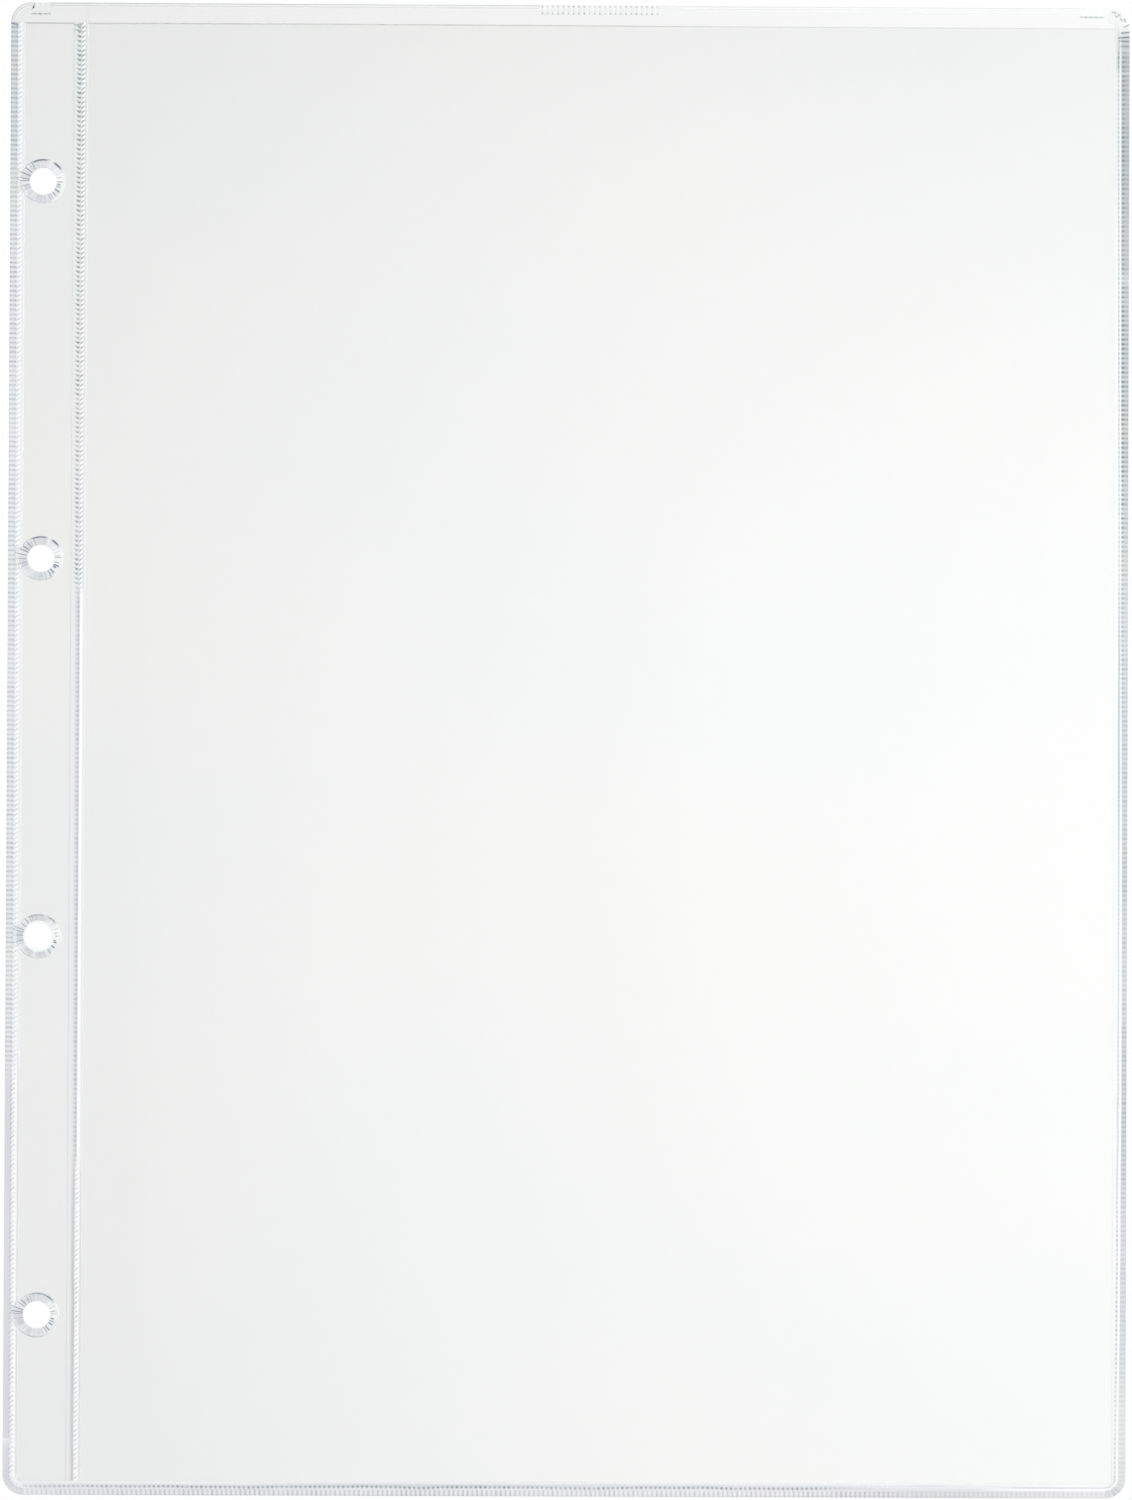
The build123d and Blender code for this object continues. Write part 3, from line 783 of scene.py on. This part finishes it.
def clearMaterial(name, style):
    # Clear vinyl: tinted glass for sight, plain see-through for lamps and scattered light.
    material = bpy.data.materials.new(name)
    material.use_nodes = True
    tree = material.node_tree
    tree.nodes.clear()
    cloud = addNode(tree, "ShaderNodeGroup", node_tree=clouding)
    cloud.inputs["Patch Size"].default_value = style["patchSize"]
    shade = addNode(tree, "ShaderNodeAttribute", attribute_name="shade").outputs["Fac"]
    hue = addNode(tree, "ShaderNodeAttribute", attribute_name="hue").outputs["Fac"]
    dark = ramped(tree, hue, style["darks"])
    clear = mixed(tree, cloud.outputs["Patches"], style["tint"], style["tintPatch"])
    if "lipShadeTint" in style:
        clear = mixed(tree, lipMask(tree), clear, style["lipShadeTint"])
    # Painted shade: the shade attribute darkens the clear tint towards the dark that hue picks
    colour = mixed(tree, shade, clear, dark)
    roughness = {"Value": cloud.outputs["Patches"], "To Min": style["roughLow"], "To Max": style["roughHigh"]}
    rough = addNode(tree, "ShaderNodeMapRange", roughness)
    bump = addNode(tree, "ShaderNodeBump", {"Height": cloud.outputs["Height"], "Strength": style["bump"],
                                            "Distance": style["bumpDepth"] * mm})
    vinyl = addNode(tree, "ShaderNodeBsdfPrincipled",
                    {"Base Color": colour, "Roughness": rough.outputs[0], "Normal": bump.outputs[0],
                     "Transmission Weight": style["clear"], "IOR": style["ior"]})
    seeThrough = addNode(tree, "ShaderNodeBsdfTransparent", {"Color": style["shadow"]})
    ray = addNode(tree, "ShaderNodeLightPath")
    inner = mixedShader(tree, ray.outputs["Is Diffuse Ray"], vinyl.outputs[0], seeThrough.outputs[0])
    outer = mixedShader(tree, ray.outputs["Is Shadow Ray"], inner, seeThrough.outputs[0])
    addNode(tree, "ShaderNodeOutputMaterial", {"Surface": outer})
    return material


# The darks of the painted shade, tinted grey, blue and violet
grey, blue, violet = (0.09, 0.10, 0.095, 1), (0.03, 0.09, 0.135, 1), (0.08, 0.065, 0.16, 1)
darkTints = ((0.0, grey), (0.5, blue), (1.0, violet))
filmStyle = {
    "tint": (0.965, 0.972, 0.968, 1), "tintPatch": (0.973, 0.976, 0.969, 1), "darks": darkTints, "clear": 1.0,
    # the darker colour of the lip's painted shade at its left end, where the room is dim
    "lipShadeTint": (0.905, 0.915, 0.905, 1), "shadow": (0.99, 0.99, 0.99, 1), "patchSize": 80.0,
    "roughLow": 0.03, "roughHigh": 0.06, "bump": 0.5, "bumpDepth": 0.2, "ior": 1.53,
}
weldStyle = {
    "tint": (0.975, 0.985, 0.985, 1), "tintPatch": (0.985, 0.98, 0.99, 1), "darks": darkTints, "clear": 0.7,
    "shadow": (0.96, 0.965, 0.965, 1), "patchSize": 14.0,
    "roughLow": 0.28, "roughHigh": 0.36, "bump": 0.3, "bumpDepth": 0.1, "ior": 1.53,
}
film = clearMaterial("clearVinylFilm", filmStyle)
weld = clearMaterial("weldedVinyl", weldStyle)


def dress(piece, material):
    piece.data.materials.clear()
    piece.data.materials.append(material)


for node in ("back_pocket_film", "back_margin_film", "front_margin_film"):
    frame["nodes"][node].data.materials.clear()
    frame["nodes"][node].data.materials.append(film)
for piece in (frontFilm, lipWeb):
    dress(piece, film)
edges = (leftEdge, cornerEdge, bottomEdge, rightEdge, marginStrip, marginRim)
for piece in (*edges, *lipStrips.values(), *rings, *tacks.values()):
    dress(piece, weld)
print("materials made")

# Riding on the bodies: what lies on one side of the fold rides on that side's body; what crosses it stays put
for piece in (bottomEdge, marginStrip, lipStrips["left"], lipWeb):
    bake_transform(piece)
for piece in (leftEdge, cornerEdge, marginRim, lipStrips["corner"], tacks["left"], *rings):
    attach(piece, "binding_margin")
for piece in (rightEdge, lipStrips["right"], lipStrips["middle"], tacks["middle"], tacks["right"]):
    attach(piece, "pocket")
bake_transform(frontFilm)


def bowFrontSheet():
    # The film's share of the mouth's lift, none along its welds and all of it at the middle of the mouth, is
    # worked out here and not used.
    rise = ((sheetRows - sheetRows[0]) / (sheetRows[-1] - sheetRows[0])) ** frontSheet["riseCurve"]
    bow = np.sin(np.pi * sheetShares) ** frontSheet["bowCurve"]
    share = rise[:, None] * bow
    share = np.concatenate([share, share[:, ::-1]], 1)


bowFrontSheet()
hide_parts("left_edge_weld")
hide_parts("left_corner_weld")
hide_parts("bottom_edge_weld")
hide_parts("right_corner_weld", "right_edge_weld", "top_corner_weld")
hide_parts("margin_weld")
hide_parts("front_pocket_film")
for number, piece in enumerate(rings, start=1):
    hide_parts(f"hole_weld_{number}")
for side, piece in tacks.items():
    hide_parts(f"lip_tack_{side}")
print("pieces ride on their bodies")

# Floor: white in glass, and to the eye it shows the white beyond it, so a page turned below it is still seen;
# a share of real light keeps the shadow, more of it through the film
floorStyle = {"size": 40.0, "drop": 0.3, "lit": 0.05, "litThrough": 0.35, "paint": (0.88, 0.88, 0.88, 1)}
white = (1, 1, 1, 1)


def makeFloor():
    half, z = floorStyle["size"] / 2, -floorStyle["drop"] * mm
    corners = [(-half, -half, z), (half, -half, z), (half, half, z), (-half, half, z)]
    mesh = bpy.data.meshes.new("floor")
    mesh.from_pydata(corners, [], [(0, 1, 2, 3)])
    floor = bpy.data.objects.new("floor", mesh)
    bpy.context.scene.collection.objects.link(floor)
    material = bpy.data.materials.new("paleFloor")
    material.use_nodes = True
    tree = material.node_tree
    tree.nodes.clear()
    ray = addNode(tree, "ShaderNodeLightPath")
    through = ray.outputs["Is Transmission Ray"]
    seen = reckoned(tree, "MAXIMUM", ray.outputs["Is Camera Ray"], ray.outputs["Is Glossy Ray"])
    seen = reckoned(tree, "MAXIMUM", seen, through)
    share = reckoned(tree, "MULTIPLY", seen, 1 - floorStyle["lit"])
    share = reckoned(tree, "MULTIPLY_ADD", through, floorStyle["lit"] - floorStyle["litThrough"], share)
    paint = addNode(tree, "ShaderNodeBsdfDiffuse", {"Color": floorStyle["paint"]})
    glow = addNode(tree, "ShaderNodeEmission", {"Color": white, "Strength": 1.0})
    beyond = addNode(tree, "ShaderNodeBsdfTransparent", {"Color": white})
    pale = mixedShader(tree, ray.outputs["Is Camera Ray"], glow.outputs[0], beyond.outputs[0])
    both = mixedShader(tree, share, paint.outputs[0], pale)
    addNode(tree, "ShaderNodeOutputMaterial", {"Surface": both})
    mesh.materials.append(material)


makeFloor()

# Studio: a soft room that is bright overhead to the right and dim overhead to the left, and two soft lamps
room = {
    "acrossSpan": 0.17, "upSpan": 0.21, "strength": 1.3, "low": 0.40, "zenithFrom": 0.90, "zenithTo": 0.955,
    "acrossTone": ((0.0, 0.40), (0.15, 0.49), (0.26, 0.585), (0.38, 0.695), (0.52, 0.79), (0.65, 0.89),
                   (1.0, 1.0)),
    "upTone": ((0.0, 0.86), (0.15, 0.92), (0.4, 1.0), (0.62, 0.97), (0.76, 0.85), (0.94, 0.62), (1.0, 0.55)),
}
lamps = {
    "key": {"place": (0.78, 0.10, 0.80), "size": 0.62, "power": 9.0},
    "top": {"place": (-0.20, 0.85, 0.75), "size": 0.50, "power": 1.5},
}


def neutral(tone):
    return (tone, tone, tone, 1)


def toneRamp(tree, value, span, stops):
    greys = [(place, neutral(tone)) for place, tone in stops]
    return ramped(tree, spread(tree, value, -span, span), greys, "B_SPLINE")


def makeRoom():
    world = bpy.data.worlds.new("softRoom")
    bpy.context.scene.world = world
    world.use_nodes = True
    tree = world.node_tree
    tree.nodes.clear()
    way = addNode(tree, "ShaderNodeTexCoord").outputs["Generated"]
    way = addNode(tree, "ShaderNodeSeparateXYZ", {"Vector": way})
    across = toneRamp(tree, way.outputs["X"], room["acrossSpan"], room["acrossTone"])
    up = toneRamp(tree, way.outputs["Y"], room["upSpan"], room["upTone"])
    overhead = mixed(tree, 1.0, across, up, "MULTIPLY")
    zenith = (room["zenithFrom"], room["zenithTo"])
    high = spread(tree, way.outputs["Z"], *zenith, interpolation_type="SMOOTHSTEP")
    ray = addNode(tree, "ShaderNodeLightPath")
    clear = 1 / room["strength"]  # glass shows the sides white, like the floor
    sides = mixed(tree, ray.outputs["Is Transmission Ray"], neutral(room["low"]), neutral(clear))
    tone = mixed(tree, high, sides, overhead)
    light = addNode(tree, "ShaderNodeBackground", {"Color": tone, "Strength": room["strength"]})
    plain = addNode(tree, "ShaderNodeBackground", {"Color": white, "Strength": 1.0})
    seen = mixedShader(tree, ray.outputs["Is Camera Ray"], light.outputs[0], plain.outputs[0])
    addNode(tree, "ShaderNodeOutputWorld", {"Surface": seen})


def makeLamps():
    for name, style in lamps.items():
        data = bpy.data.lights.new(name, "AREA")
        data.shape = "DISK"
        data.size = style["size"]
        data.energy = style["power"]
        lamp = bpy.data.objects.new(name, data)
        bpy.context.scene.collection.objects.link(lamp)
        lamp.location = style["place"]
        lamp.rotation_euler = lamp.location.to_track_quat("Z", "Y").to_euler()


makeRoom()
makeLamps()

# Camera: straight above, set by the page's edges and holes in the picture
view = {"lens": 85.0, "sensor": 36.0, "place": (-4.66, -7.23, 750.71), "turn": (0.543, -0.330, 0.2575)}


def makeCamera():
    data = bpy.data.cameras.new("camera")
    data.lens = view["lens"]
    data.sensor_width = view["sensor"]
    camera = bpy.data.objects.new("camera", data)
    bpy.context.scene.collection.objects.link(camera)
    camera.location = [value * mm for value in view["place"]]
    camera.rotation_euler = [math.radians(value) for value in view["turn"]]
    bpy.context.scene.camera = camera


makeCamera()
bpy.context.scene.view_settings.view_transform = "Standard"
